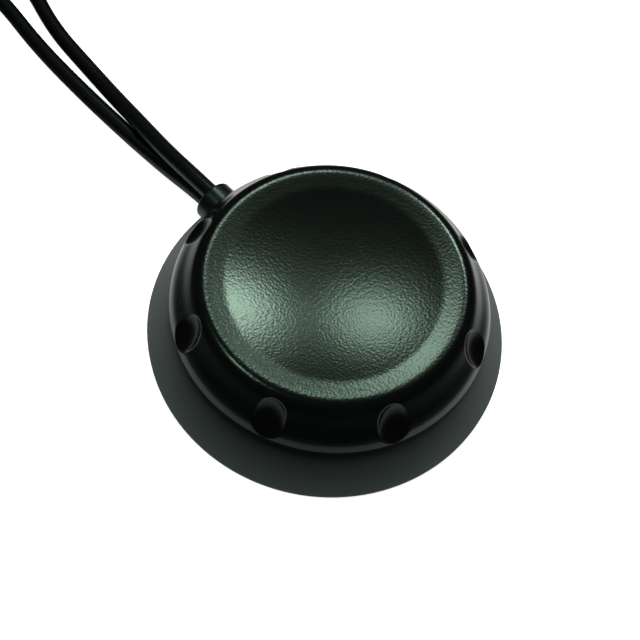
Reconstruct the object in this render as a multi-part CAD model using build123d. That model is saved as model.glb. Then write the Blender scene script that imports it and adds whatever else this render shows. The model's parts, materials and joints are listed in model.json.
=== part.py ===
"""Puck-shaped antenna for satellite and phone bands, on two coaxial cables.

Millimetres, +Z up. The origin is the middle of the underside, on the surface that the
antenna stands on. The cables leave towards -X.
"""
import os
from math import cos, hypot, pi, radians, sin, sqrt, tan

from build123d import *

# Foot and base housing
base_radius = 28.0
foot_pad_thickness = 0.7
foot_pad_clearance = 0.2
skirt_lip_width = 2.8
skirt_ground_gap = 0.25
skirt_lip_height = 0.8
skirt_lip_rounding = 0.25
floor_thickness = 1.0
skirt_wall = 1.6
skirt_neck_height = 0.9
flare_hollow = 0.55
joint_over_boss = 0.8

# Sealing ring in the joint face
seal_width = 0.8
seal_depth = 0.7
seal_edge_wall = 0.55

# Top cover
rim_radius = 24.1
rim_overhang = 0.9
rim_band_rise = 0.9
rim_band_inset = 0.38
roll_middle_inset = 2.25
roll_middle_rise = 3.0
shoulder_inset = 4.2
shoulder_drop = 1.25
crest_inset = 5.9
crest_height_over_crease = 0.15
crease_inset = 6.9
dish_depth = 2.1
crest_start_direction = (1.0, 0.45)
roll_end_direction = (0.42, -1.0)
cover_roof = 1.4
roof_clearance = 0.2
roof_edge_inset = 0.7
joint_face_width = 2.5

# Thumb scoops round the rim
scoop_count = 8
scoop_first_angle = 22.5
scoop_width = 5.1
scoop_length = 7.2
scoop_depth = 1.1
scoop_middle = 2.9

# Cover screws
cover_screw_count = 3
cover_screw_inset = 3.7
cover_screw_radius = 1.05
cover_screw_hole_gap = 0.15
cover_screw_head_radius = 1.9
cover_screw_head_height = 1.3
cover_screw_engagement = 2.9
cover_screw_sink = 0.7
screw_head_clearance = 0.2
screw_tip_clearance = 0.3
pillar_wall = 0.65
pillar_foot_wall = 0.8
pillar_foot_roof = 0.6
recess_width = 0.45
recess_share = 0.7
screw_head_rounding_share = 0.6

# Circuit board and its fixings
board_edge_gap = 1.85
board_flat_gap = 1.5
board_flat_width = 6.0
board_thickness = 1.0
board_scallop_gap = 0.3
board_screw_angles = (60.0, 300.0)
board_rest_angles = (150.0, 210.0)
board_screw_strip_gap = 0.4
board_screw_patch_gap = 0.13
board_screw_radius = 0.8
board_screw_head_radius = 1.4
board_screw_head_height = 1.0
board_screw_depth = 3.2

# Magnets in the base
magnet_angles = (0.0, 90.0, 270.0)
magnet_pillar_gap = 0.1
magnet_radius = 4.5
magnet_thickness = 2.0
magnet_clearance = 0.1
magnet_rib_width = 0.6
magnet_rib_height = 1.1

# Patch antenna on the board
patch_thickness = 3.9
patch_corner = 0.5
patch_adhesive_thickness = 0.2
patch_adhesive_inset = 1.0
electrode_inset = 3.0
electrode_corner_cut = 1.6
electrode_thickness = 0.1
feed_offset = -2.2
feed_pin_radius = 0.5
feed_pin_head_radius = 1.1
feed_pin_head_height = 0.25
feed_pin_tail = 0.6

# Phone-band strip round the patch
strip_gap = 0.67
strip_edge_gap = 0.9
strip_thickness = 0.3
strip_height = 4.4
strip_half_span = 131.0

# Parts under the board
can_side = 11.0
can_height = 1.9
can_sheet = 0.2
can_magnet_gap = 0.4
amplifier_size = (2.0, 2.0, 0.75)
amplifier_place = (2.6, 1.9)
filter_size = (3.0, 2.4, 0.9)
filter_place = (-2.4, -2.6)
capacitor_size = (1.0, 0.5, 0.5)
capacitor_places = ((0.6, -1.0), (0.6, -2.6), (2.9, -1.2), (2.9, -3.0), (-0.6, 3.4), (-3.0, 2.2))

# Cable entry
cable_radius = 1.4
cable_gap = 0.2
cable_floor_gap = 0.2
boss_wall = 0.5
boss_length = 5.7
boss_rounding = 0.45
collar_wall = 1.1
collar_reach = 0.75
grommet_flange_width = 0.5
grommet_flange_thickness = 1.0
jacket_past_flange = 0.4

# Stripped cable ends inside the housing
jacket_wall = 0.35
shield_length = 0.7
braid_wall = 0.3
core_radius = 0.25
core_bend = 0.35
solder_radius = 0.9
solder_height = 0.45
lower_dielectric_length = 2.2
lower_core_reach = 1.2
upper_dielectric_length = 0.3
upper_core_start = 0.45
upper_core_step = 0.6
upper_core_reach = 1.5

# Put-away coils: rows of turns, each row set half a turn over from the one below
coil_mean_radius = 16.4
coil_columns = 5
coil_rows = 6
coil_row_rise = 2.6
coil_margin = 0.3
coil_corner = 3.0
coil_x = -105.0
lower_coil_y = -22.5
upper_coil_y = 29.2
tie_thickness = 0.8
tie_width = 5.0
tie_clearance = 0.05
tie_angles = (0.0, 180.0)

# Coaxial screw plugs
nut_across_flats = 8.0
nut_length = 7.0
nut_back_wall = 1.7
nut_bore_gap = 0.35
nut_chamfer = 0.5
nut_running_gap = 0.08
nut_back_gap = 0.3
plug_ground_gap = 0.03
plug_collar_step = 0.6
plug_collar_length = 3.2
plug_neck_radius = 2.6
plug_neck_length = 2.6
plug_barrel_step = 0.29
plug_barrel_wall = 0.31
plug_barrel_length = 3.2
plug_stub_length = 3.0
ring_groove_depth = 0.3
ring_groove_width = 0.6
ring_side_gap = 0.05
ring_step = 0.25
ring_slot_width = 0.9
ring_groove_in_nut = 0.35
gasket_step = 0.25
gasket_thickness = 0.6
insulator_recess = 0.25
pin_radius = 0.46
pin_tip_radius = 0.15
pin_proud = 0.35
ferrule_wall = 0.75
ferrule_length = 7.0
ferrule_crimp = 0.2
ferrule_round_end = 1.0
boot_wall = 0.35
boot_past_cable = 4.0
boot_fit_gap = 0.02
boot_taper = 1.2
boot_setback = 0.8

# Radii and distances worked out from the sizes above
foot_pad_radius = base_radius - skirt_lip_width - foot_pad_clearance
skirt_top_radius = rim_radius - rim_overhang
skirt_inner_radius = skirt_top_radius - skirt_wall - seal_edge_wall
cover_screw_circle = rim_radius - cover_screw_inset
crest_radius = rim_radius - crest_inset
crease_radius = rim_radius - crease_inset
board_radius = skirt_inner_radius - board_edge_gap
strip_outer_radius = board_radius - strip_edge_gap
strip_inner_radius = strip_outer_radius - strip_thickness
board_screw_circle = strip_inner_radius - board_screw_strip_gap - board_screw_head_radius
screw_from_middle = board_screw_circle * sin(radians(board_screw_angles[0]))
side_within_screws = 2 * (screw_from_middle - board_screw_head_radius - board_screw_patch_gap)
corner_reach = strip_inner_radius - strip_gap
side_within_strip = patch_corner + sqrt(2 * corner_reach ** 2 - patch_corner ** 2)
patch_side = min(side_within_screws, side_within_strip)
pillar_radius = cover_screw_radius + pillar_wall
pillar_foot_radius = cover_screw_head_radius + screw_head_clearance + pillar_foot_wall
magnet_pocket_radius = magnet_radius + magnet_clearance
magnet_circle = cover_screw_circle - pillar_foot_radius - magnet_pillar_gap - magnet_pocket_radius
cable_spacing = 2 * cable_radius + cable_gap
boss_radius = cable_spacing / 2 + cable_radius + boss_wall
grommet_flange_radius = boss_radius + grommet_flange_width
collar_inner_end = skirt_inner_radius + collar_reach
boss_end = collar_inner_end + boss_length
shield_radius = cable_radius - jacket_wall
dielectric_radius = shield_radius - braid_wall
jacket_end = collar_inner_end - grommet_flange_thickness - jacket_past_flange
board_flat = jacket_end - shield_length - board_flat_gap

# Heights worked out from the sizes above
floor_top = foot_pad_thickness + floor_thickness
cover_screw_seat = foot_pad_thickness + cover_screw_head_height + cover_screw_sink
pillar_foot_height = cover_screw_seat - floor_top + pillar_foot_roof
boss_height = floor_top + cable_floor_gap + cable_radius + cable_spacing / 2
joint_height = boss_height + boss_radius + joint_over_boss
board_bottom = floor_top + magnet_thickness + can_magnet_gap + can_height
board_top = board_bottom + board_thickness
patch_bottom = board_top + patch_adhesive_thickness
patch_top = patch_bottom + patch_thickness
feed_pin_top = patch_top + electrode_thickness + feed_pin_head_height
crease_rise = feed_pin_top + roof_clearance + dish_depth + cover_roof - joint_height
crest_rise = crease_rise + crest_height_over_crease
shoulder_rise = crest_rise - shoulder_drop
cover_screw_length = joint_height + cover_screw_engagement - cover_screw_seat
lower_cable_height = boss_height - cable_spacing / 2
upper_cable_height = boss_height + cable_spacing / 2
cable_diameter = 2 * cable_radius
cover_screw_angles = [360.0 / cover_screw_count * i for i in range(cover_screw_count)]
nut_bore_radius = plug_neck_radius + nut_bore_gap
plug_collar_radius = plug_neck_radius + plug_collar_step
plug_barrel_radius = plug_neck_radius - plug_barrel_step
plug_barrel_bore = plug_barrel_radius - plug_barrel_wall
ring_radius = plug_neck_radius + ring_step
gasket_radius = plug_neck_radius + gasket_step
ferrule_radius = cable_radius + ferrule_wall
ferrule_flat = ferrule_radius - ferrule_crimp
nut_corner_radius = nut_across_flats / 2 / cos(radians(30))
plug_axis_height = nut_corner_radius + plug_ground_gap
coil_width = coil_columns * cable_diameter + 2 * coil_margin
coil_height = cable_diameter + (coil_rows - 1) * coil_row_rise + coil_margin
coil_bottom = tie_thickness + tie_clearance
outer_turn = coil_mean_radius + (coil_columns - 1) * cable_radius
turn_height = coil_bottom + cable_radius

# Each arc of a cord takes this share of the shorter run beside it
bend_share = 0.45

# Cord routes: points chosen by hand, from the grommet to the coil and from the coil to the plug
lower_lead_route = [
    (-jacket_end, 0.0, lower_cable_height),
    (-29.6, 0.0, lower_cable_height),
    (-39.0, -0.2, cable_radius),
    (-50.0, -0.75, cable_radius),
    (-62.0, -0.95, cable_radius),
    (-75.0, -0.6, cable_radius),
    (-88.0, 1.0, cable_radius),
    (-97.0, lower_coil_y + outer_turn + 0.2, turn_height),
    (coil_x, lower_coil_y + outer_turn - 0.6, turn_height),
]
upper_lead_route = [
    (-jacket_end, 0.0, upper_cable_height),
    (-29.6, 0.0, upper_cable_height),
    (-39.0, 0.35, 5.0),
    (-47.0, 1.2, 3.85),
    (-56.0, 2.3, 2.0),
    (-65.0, 3.15, cable_radius),
    (-76.0, 3.95, cable_radius),
    (-87.0, 6.9, cable_radius),
    (-96.0, upper_coil_y - outer_turn + 0.8, turn_height),
    (coil_x, upper_coil_y - outer_turn + 0.5, turn_height),
]
plug_start_x = -72.5
plug_inset = 2.2


def tail_route(coil_y, side):
    """Points of the short stretch from a coil's outer turn to its plug; side is -1 or 1 along Y."""
    return [
        (coil_x - 3.0, coil_y + side * outer_turn, turn_height),
        (coil_x + 4.5, coil_y + side * (outer_turn + 0.3), turn_height),
        (coil_x + 18.5, coil_y + side * (outer_turn - plug_inset), plug_axis_height),
        (plug_start_x, coil_y + side * (outer_turn - plug_inset), plug_axis_height),
    ]


lower_tail_route = tail_route(lower_coil_y, -1)
upper_tail_route = tail_route(upper_coil_y, 1)
lower_plug_y = lower_tail_route[-1][1]
upper_plug_y = upper_tail_route[-1][1]


def disc(radius, bottom, top):
    """Upright cylinder on the Z axis between two heights."""
    return Pos(0, 0, bottom) * Cylinder(radius, top - bottom, align=(Align.CENTER, Align.CENTER, Align.MIN))


def ring(outer, inner, bottom, top):
    """Upright tube on the Z axis between two heights."""
    return disc(outer, bottom, top) - disc(inner, bottom, top)


def block(size, x, y, bottom):
    """Upright box, centred at (x, y), from its bottom height up."""
    return Pos(x, y, bottom) * Box(*size, align=(Align.CENTER, Align.CENTER, Align.MIN))


def at_angle(angle, radius):
    """Place on a circle round the Z axis."""
    return Rot(0, 0, angle) * Pos(radius, 0, 0)


def turned(outline):
    """Solid turned about the Z axis from a closed outline drawn as (radius, height)."""
    return revolve(Plane.XZ * make_face(outline), Axis.Z)


def turned_on_x(points):
    """Solid turned about the X axis from corners given as (x, radius)."""
    return revolve(make_face(Polyline(*points, close=True)), Axis.X)


def flare_points():
    """Ends and middle of the skirt's hollow flare, as (radius, height)."""
    low = (base_radius, skirt_ground_gap + skirt_lip_height)
    high = (skirt_top_radius, joint_height - skirt_neck_height)
    run, rise = low[0] - high[0], high[1] - low[1]
    length = hypot(run, rise)
    middle = ((low[0] + high[0]) / 2 - flare_hollow * rise / length,
              (low[1] + high[1]) / 2 - flare_hollow * run / length)
    return low, middle, high


def skirt_outline():
    """Outline of the base: floor, flared skirt and joint face."""
    low, middle, high = flare_points()
    slope = (low[0] - high[0]) / (high[1] - low[1])
    wall_run = skirt_wall * sqrt(1 + slope ** 2)
    recess = foot_pad_radius + foot_pad_clearance
    inner_low = low[0] - wall_run - (floor_top - low[1]) * slope
    inner_middle = (middle[0] - wall_run, middle[1])
    return [
        Line((0, foot_pad_thickness), (recess, foot_pad_thickness)),
        Line((recess, foot_pad_thickness), (recess, skirt_ground_gap)),
        Line((recess, skirt_ground_gap), (low[0] - skirt_lip_rounding, skirt_ground_gap)),
        Line((low[0] - skirt_lip_rounding, skirt_ground_gap), (low[0], skirt_ground_gap + skirt_lip_rounding)),
        Line((low[0], skirt_ground_gap + skirt_lip_rounding), low),
        ThreePointArc(low, middle, high),
        Line(high, (high[0], joint_height)),
        Line((high[0], joint_height), (skirt_inner_radius, joint_height)),
        Line((skirt_inner_radius, joint_height), (skirt_inner_radius, high[1])),
        ThreePointArc((skirt_inner_radius, high[1]), inner_middle, (inner_low, floor_top)),
        Line((inner_low, floor_top), (0, floor_top)),
        Line((0, floor_top), (0, foot_pad_thickness)),
    ]


def seal_radii():
    """Outer and inner radius of the sealing ring and its groove."""
    outer = skirt_top_radius - seal_edge_wall
    return outer, outer - seal_width


def boss_cylinder(radius, start, end):
    """Cylinder on the cable boss's axis between two distances from the middle."""
    along = Plane(origin=(-start, 0, boss_height), z_dir=(-1, 0, 0))
    return along * Cylinder(radius, end - start, align=(Align.CENTER, Align.CENTER, Align.MIN))


def cable_bore(height, start, end):
    """Cable-sized cylinder along X at one height between two distances from the middle."""
    along = Plane(origin=(-start, 0, height), z_dir=(-1, 0, 0))
    return along * Cylinder(cable_radius, end - start, align=(Align.CENTER, Align.CENTER, Align.MIN))


def make_base_housing():
    """Base: floor, flared skirt, pillars, magnet ribs and the cable collar."""
    base = turned(skirt_outline())
    inside = disc(skirt_top_radius - skirt_wall / 2, floor_top, joint_height)
    wide = disc(base_radius - 2 * skirt_wall, floor_top, floor_top + pillar_foot_height)
    for angle in cover_screw_angles:
        place = at_angle(angle, cover_screw_circle)
        pillar = disc(pillar_radius, floor_top, joint_height) & place.inverse() * inside
        foot = disc(pillar_foot_radius, floor_top, floor_top + pillar_foot_height) & place.inverse() * wide
        base += place * (pillar + foot)
        base -= place * disc(cover_screw_radius + cover_screw_hole_gap, foot_pad_thickness, joint_height)
        base -= place * disc(cover_screw_head_radius + screw_head_clearance, foot_pad_thickness, cover_screw_seat)
    for angle in board_screw_angles:
        place = at_angle(angle, board_screw_circle)
        base += place * disc(pillar_radius, floor_top, board_bottom)
        base -= place * disc(board_screw_radius, floor_top, board_bottom)
    for angle in board_rest_angles:
        base += at_angle(angle, board_screw_circle) * disc(pillar_radius, floor_top, board_bottom)
    rib_outer = magnet_pocket_radius + magnet_rib_width
    for angle in magnet_angles:
        rib = ring(rib_outer, magnet_pocket_radius, floor_top, floor_top + magnet_rib_height)
        base += at_angle(angle, magnet_circle) * rib
        base -= at_angle(angle, magnet_circle) * disc(magnet_pocket_radius, floor_top, joint_height)
    collar = boss_cylinder(boss_radius + collar_wall, collar_inner_end, base_radius)
    collar &= turned(skirt_outline()) + inner_space()
    seal_outer, seal_inner = seal_radii()
    base += collar
    base -= ring(seal_outer, seal_inner, joint_height - seal_depth, joint_height)
    return base - boss_cylinder(boss_radius, collar_inner_end - grommet_flange_thickness, base_radius)


def inner_space():
    """Room inside the skirt, above the floor and under the joint face."""
    low, middle, high = flare_points()
    corners = [(0, floor_top), (low[0] - skirt_wall, floor_top), (middle[0] - skirt_wall / 2, middle[1]),
               (high[0] - skirt_wall / 2, high[1]), (high[0] - skirt_wall / 2, joint_height), (0, joint_height)]
    return turned(Polyline(*corners, close=True))


def make_foot_pad():
    """Soft pad bonded under the base."""
    return disc(foot_pad_radius, 0, foot_pad_thickness)


def make_sealing_ring():
    """Flat ring that fills the groove in the joint face."""
    seal_outer, seal_inner = seal_radii()
    return ring(seal_outer, seal_inner, joint_height - seal_depth, joint_height)


def roll_slope():
    """Unit vector up the rolled rim, as (radius, height)."""
    length = hypot(shoulder_inset, shoulder_rise)
    return -shoulder_inset / length, shoulder_rise / length


def cover_outside():
    """Outside of the cover: dish, soft crest, rolled rim and the band at its edge."""
    dish_centre = (0, joint_height + crease_rise - dish_depth)
    crease = (crease_radius, joint_height + crease_rise)
    crest = (crest_radius, joint_height + crest_rise)
    shoulder = (rim_radius - shoulder_inset, joint_height + shoulder_rise)
    roll_middle = (rim_radius - roll_middle_inset, joint_height + roll_middle_rise)
    band_top = (rim_radius - rim_band_inset, joint_height + rim_band_rise)
    return [
        TangentArc(dish_centre, crease, tangent=(1, 0)),
        Spline([crease, crest, shoulder, roll_middle, band_top], tangents=[crest_start_direction, roll_end_direction]),
        Line(band_top, (rim_radius, joint_height)),
    ]


def cover_outline():
    """Outline of the cover: its outside, joint face and inside."""
    slope_r, slope_z = roll_slope()
    inner_foot = (rim_radius - joint_face_width, joint_height)
    roof_height = joint_height + crease_rise - cover_roof
    inner_head = (inner_foot[0] + slope_r / slope_z * (roof_height - joint_height), roof_height)
    inner_crease = (min(crease_radius, inner_head[0]) - roof_edge_inset, roof_height)
    inner_centre = (0, roof_height - dish_depth * (inner_crease[0] / crease_radius) ** 2)
    return [
        *cover_outside(),
        Line((rim_radius, joint_height), inner_foot),
        Line(inner_foot, inner_head),
        Line(inner_head, inner_crease),
        TangentArc(inner_centre, inner_crease, tangent=(1, 0)),
        Line(inner_centre, (0, joint_height + crease_rise - dish_depth)),
    ]


def scoop_cutter():
    """Lemon-shaped cutter for one thumb scoop, its long axis up the rolled rim."""
    half_width, half_length = scoop_width / 2, scoop_length / 2
    across = (half_width ** 2 + scoop_depth ** 2) / (2 * scoop_depth)
    along = (half_length ** 2 + scoop_depth ** 2) / (2 * scoop_depth)
    tip = sqrt(along ** 2 - (along - across) ** 2)
    lemon = revolve(make_face([ThreePointArc((-tip, 0), (0, across), (tip, 0)), Line((tip, 0), (-tip, 0))]), Axis.X)
    slope_r, slope_z = roll_slope()
    surface_r = rim_radius + slope_r * scoop_middle
    surface_z = joint_height + slope_z * scoop_middle
    out = across - scoop_depth
    place = Plane(origin=(surface_r + slope_z * out, 0, surface_z - slope_r * out),
                  x_dir=(slope_r, 0, slope_z), z_dir=(0, 1, 0))
    return place * lemon


def make_top_cover():
    """Dished cover with its thumb scoops and screw bosses."""
    cover = turned(cover_outline())
    cutter = scoop_cutter()
    for i in range(scoop_count):
        cover -= Rot(0, 0, scoop_first_angle + 360 / scoop_count * i) * cutter
    roof = crease_rise - cover_roof / 2
    mould = turned([*cover_outside(), Line((rim_radius, joint_height), (0, joint_height)),
                    Line((0, joint_height), (0, joint_height + crease_rise - dish_depth))])
    for angle in cover_screw_angles:
        boss = at_angle(angle, cover_screw_circle) * disc(pillar_radius, joint_height, joint_height + roof)
        cover += boss & mould
    hole_top = cover_screw_seat + cover_screw_length + screw_tip_clearance
    for angle in cover_screw_angles:
        cover -= at_angle(angle, cover_screw_circle) * disc(cover_screw_radius, joint_height, hole_top)
    return cover


def pan_screw(head_radius, head_height, shaft_radius, length, seat, head_up):
    """Round-headed screw on the Z axis with a cross recess, its head bearing at the seat height."""
    way = 1 if head_up else -1
    dome = Pos(0, 0, seat) * (Rot(0 if head_up else 180, 0, 0) * disc(head_radius, 0, head_height))
    rim = dome.edges().filter_by(GeomType.CIRCLE).sort_by(Axis.Z)[-1 if head_up else 0]
    dome = fillet(rim, head_height * screw_head_rounding_share)
    depth = head_height * recess_share
    middle = seat + way * (head_height - depth / 2)
    for turn in (0, 90):
        slot = Box(2 * head_radius * recess_share, recess_width, depth)
        dome -= Pos(0, 0, middle) * Rot(0, 0, turn) * slot
    low, high = sorted((seat, seat - way * length))
    return dome + disc(shaft_radius, low, high)


def make_cover_screws():
    """Screws that hold the cover, put in from below."""
    screw = pan_screw(cover_screw_head_radius, cover_screw_head_height, cover_screw_radius,
                      cover_screw_length, cover_screw_seat, False)
    return [at_angle(angle, cover_screw_circle) * screw for angle in cover_screw_angles]


def make_board_screws():
    """Screws that hold the circuit board to its pillars."""
    screw = pan_screw(board_screw_head_radius, board_screw_head_height, board_screw_radius,
                      board_screw_depth + board_thickness, board_top, True)
    return [at_angle(angle, board_screw_circle) * screw for angle in board_screw_angles]


def make_base_magnets():
    """Disc magnets that stand inside their ribs on the floor."""
    magnet = disc(magnet_radius, floor_top, floor_top + magnet_thickness)
    return [at_angle(angle, magnet_circle) * magnet for angle in magnet_angles]


def make_circuit_board():
    """Round board with scallops for the cover pillars, screw holes and the feed hole."""
    board = disc(board_radius, board_bottom, board_top)
    for angle in cover_screw_angles:
        board -= at_angle(angle, cover_screw_circle) * disc(pillar_radius + board_scallop_gap, board_bottom, board_top)
    for angle in board_screw_angles:
        board -= at_angle(angle, board_screw_circle) * disc(board_screw_radius, board_bottom, board_top)
    flat = block((board_radius, board_flat_width, board_thickness), -board_flat - board_radius / 2, 0, board_bottom)
    return board - flat - Pos(feed_offset, 0, 0) * disc(feed_pin_radius, board_bottom, board_top)


def square_plate(side, corner, bottom, top):
    """Square plate with cut corners and the feed hole."""
    plate = Pos(0, 0, bottom) * extrude(chamfer(Rectangle(side, side).vertices(), corner), top - bottom)
    return plate - Pos(feed_offset, 0, 0) * disc(feed_pin_radius, bottom, top)


def make_patch_adhesive():
    """Thin pad that bonds the patch to the board."""
    return square_plate(patch_side - 2 * patch_adhesive_inset, patch_corner, board_top, patch_bottom)


def make_patch_ceramic():
    """Square ceramic block of the patch antenna."""
    return square_plate(patch_side, patch_corner, patch_bottom, patch_top)


def make_patch_electrode():
    """Silver layer on the patch, with trimmed corners."""
    side = patch_side - 2 * electrode_inset
    return square_plate(side, electrode_corner_cut, patch_top, patch_top + electrode_thickness)


def make_feed_pin():
    """Pin from the patch's silver layer down through the board."""
    head_bottom = patch_top + electrode_thickness
    pin = disc(feed_pin_radius, board_bottom - feed_pin_tail, head_bottom)
    pin += disc(feed_pin_head_radius, head_bottom, feed_pin_top)
    return Pos(feed_offset, 0, 0) * pin


def make_phone_strip():
    """Curved brass strip that stands on the board round the patch."""
    strip = ring(strip_outer_radius, strip_inner_radius, board_top, board_top + strip_height)
    reach = 2 * strip_outer_radius
    half_gap = 180 - strip_half_span
    tip = (-reach, reach * tan(radians(half_gap)))
    wedge = make_face(Polyline((0, 0), tip, (-reach, -tip[1]), close=True))
    return strip - Pos(0, 0, board_top) * extrude(wedge, strip_height)


def make_shield_can():
    """Folded metal can under the board."""
    outer = block((can_side, can_side, can_height), 0, 0, board_bottom - can_height)
    inner_side = can_side - 2 * can_sheet
    return outer - block((inner_side, inner_side, can_height - can_sheet), 0, 0, board_bottom - can_height + can_sheet)


def under_board(size, place):
    """Chip that hangs from the board's underside."""
    return block(size, place[0], place[1], board_bottom - size[2])


def make_amplifier_chip():
    """Low-noise amplifier."""
    return under_board(amplifier_size, amplifier_place)


def make_filter_chip():
    """Surface-wave filter."""
    return under_board(filter_size, filter_place)


def make_chip_capacitors():
    """Small passive parts inside the can."""
    return [under_board(capacitor_size, place) for place in capacitor_places]


def make_cable_grommet():
    """Round cable entry with two holes, one above the other, and a flange inside."""
    flange_start = collar_inner_end - grommet_flange_thickness
    body = boss_cylinder(boss_radius, flange_start, boss_end)
    end_edge = body.edges().filter_by(GeomType.CIRCLE).sort_by(Axis.X)[0]
    body = fillet(end_edge, boss_rounding)
    flange = boss_cylinder(grommet_flange_radius, flange_start, collar_inner_end)
    grommet = body + (flange - turned(skirt_outline()))
    for height in (lower_cable_height, upper_cable_height):
        grommet -= cable_bore(height, flange_start, boss_end)
    return grommet


def along_x(radius, start, end, height):
    """Cylinder along X between two distances from the middle, on the cable side."""
    along = Plane(origin=(-start, 0, height), z_dir=(1, 0, 0))
    return along * Cylinder(radius, start - end, align=(Align.CENTER, Align.CENTER, Align.MIN))


def stripped_end(height, dielectric_length):
    """Bared shield and dielectric of a cable inside the housing."""
    shield_end = jacket_end - shield_length
    dielectric_end = shield_end - dielectric_length
    shield = along_x(shield_radius, jacket_end, shield_end, height)
    dielectric = along_x(dielectric_radius, shield_end, dielectric_end, height)
    return shield, dielectric, dielectric_end


def bent_wire(points):
    """Core wire along a route with one bend size."""
    path = FilletPolyline(*points, radius=core_bend)
    return sweep(Plane(origin=path @ 0, z_dir=path % 0) * Circle(core_radius), path=path)


def lower_core_route():
    """Route of the lower cable's core up to the board's underside."""
    start = stripped_end(lower_cable_height, lower_dielectric_length)[2]
    turn = start - lower_core_reach
    return [(-start, 0, lower_cable_height), (-turn, 0, lower_cable_height), (-turn, 0, board_bottom)]


def upper_core_route():
    """Route of the upper cable's core over the board's edge."""
    start = stripped_end(upper_cable_height, upper_dielectric_length)[2]
    height = board_top + core_radius
    rise = -start + upper_core_start
    over = rise + upper_core_step
    return [(-start, 0, upper_cable_height), (rise, 0, upper_cable_height), (over, 0, height),
            (over + upper_core_reach, 0, height)]


def solder_dome(x, height, up):
    """Rounded solder joint on one face of the board."""
    ball = (solder_radius ** 2 + solder_height ** 2) / (2 * solder_height)
    dome = Pos(0, 0, solder_height - ball) * Sphere(ball) & disc(solder_radius, 0, solder_height)
    return Pos(x, 0, height) * (Rot(0 if up else 180, 0, 0) * dome)


def make_solder_joints(lower_core, upper_core):
    """Solder at the ends of both core wires."""
    lower = solder_dome(lower_core_route()[-1][0], board_bottom, False) - lower_core
    upper = solder_dome(upper_core_route()[-1][0] - core_radius, board_top, True) - upper_core
    return [lower, upper]


def turn_between(a, b, c):
    """Angle in radians by which a route turns at b."""
    return radians((Vector(*b) - Vector(*a)).get_angle(Vector(*c) - Vector(*b)))


def bend_radii(points):
    """Largest arcs that the runs beside each corner allow."""
    radii = []
    for a, b, c in zip(points, points[1:], points[2:]):
        shorter = min((Vector(*b) - Vector(*a)).length, (Vector(*c) - Vector(*b)).length)
        radii.append(bend_share * shorter / tan(turn_between(a, b, c) / 2))
    return radii


def cable_tube(name, points):
    """Cable along straight runs joined by tangent arcs; its radii and volume are printed."""
    radii = bend_radii(points)
    path = FilletPolyline(*points, radius=radii)
    tube = sweep(Plane(origin=path @ 0, z_dir=path % 0) * Circle(cable_radius), path=path)
    expected = pi * cable_radius ** 2 * path.length
    print(name, "radii", [round(radius, 1) for radius in radii], "length", round(path.length, 1),
          "volume", round(tube.volume, 1), "section x length", round(expected, 1))
    return tube


def coil_section(width, height, corner):
    """Rounded cross-section of a coil, drawn as (radius, height) above the ground gap."""
    outline = Rectangle(width, height)
    return Pos(coil_mean_radius, coil_bottom + coil_height / 2) * fillet(outline.vertices(), corner)


def make_coil(y):
    """Outer shape of one put-away coil."""
    section = coil_section(coil_width, coil_height, coil_corner)
    return Pos(coil_x, y, 0) * revolve(Plane.XZ * section, Axis.Z)


def make_coil_ties(y):
    """Bands that hold one coil."""
    inner = coil_section(coil_width + 2 * tie_clearance, coil_height + 2 * tie_clearance, coil_corner + tie_clearance)
    grow = 2 * (tie_clearance + tie_thickness)
    outer = coil_section(coil_width + grow, coil_height + grow, coil_corner + grow / 2)
    sleeve = revolve(Plane.XZ * (outer - inner), Axis.Z)
    reach = coil_mean_radius + coil_width
    band = sleeve & block((reach, tie_width, 2 * coil_height), reach / 2, 0, 0)
    return [Pos(coil_x, y, 0) * Rot(0, 0, angle) * band for angle in tie_angles]


def nut_start():
    """Distance from the plug's rear face to the coupling nut."""
    return plug_collar_length + nut_back_gap


def groove_place():
    """Distance from the plug's rear face to the snap ring's groove."""
    return nut_start() + (nut_back_wall - ring_groove_width) / 2


def make_plug_body():
    """Turned plug body: crimp stub, collar, neck with its ring groove, and contact barrel."""
    neck_end = plug_collar_length + plug_neck_length
    barrel_end = neck_end + plug_barrel_length
    groove_start = groove_place()
    stub_radius = ferrule_radius - boot_wall
    corners = [
        (-plug_stub_length, shield_radius), (-plug_stub_length, stub_radius), (0, stub_radius),
        (0, plug_collar_radius - nut_chamfer / 2), (nut_chamfer / 2, plug_collar_radius),
        (plug_collar_length, plug_collar_radius), (plug_collar_length, plug_neck_radius),
        (groove_start, plug_neck_radius), (groove_start, plug_neck_radius - ring_groove_depth),
        (groove_start + ring_groove_width, plug_neck_radius - ring_groove_depth),
        (groove_start + ring_groove_width, plug_neck_radius), (neck_end, plug_neck_radius),
        (neck_end, plug_barrel_radius), (barrel_end, plug_barrel_radius), (barrel_end, plug_barrel_bore),
        (plug_collar_length, plug_barrel_bore), (plug_collar_length, shield_radius),
    ]
    return turned_on_x(corners)


def make_plug_nut():
    """Hexagonal coupling nut with a running bore and its ring groove."""
    start = nut_start()
    end = start + nut_length
    hexagon = Plane(origin=(start, 0, 0), x_dir=(0, 0, 1), z_dir=(1, 0, 0)) * RegularPolygon(nut_corner_radius, 6)
    body = extrude(hexagon, nut_length)
    corners = [(start, nut_across_flats / 2), (start + nut_chamfer, nut_corner_radius),
               (end - nut_chamfer, nut_corner_radius), (end, nut_across_flats / 2)]
    body &= turned_on_x([(start, 0), *corners, (end, 0)])
    running = plug_neck_radius + nut_running_gap
    groove = groove_place()
    groove_radius = ring_radius + ring_groove_in_nut / 2
    bore = [(start, 0), (start, running), (groove - ring_side_gap, running), (groove - ring_side_gap, groove_radius),
            (groove + ring_groove_width + ring_side_gap, groove_radius),
            (groove + ring_groove_width + ring_side_gap, running), (start + nut_back_wall, running),
            (start + nut_back_wall, nut_bore_radius), (end, nut_bore_radius), (end, 0)]
    return body - turned_on_x(bore)


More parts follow.
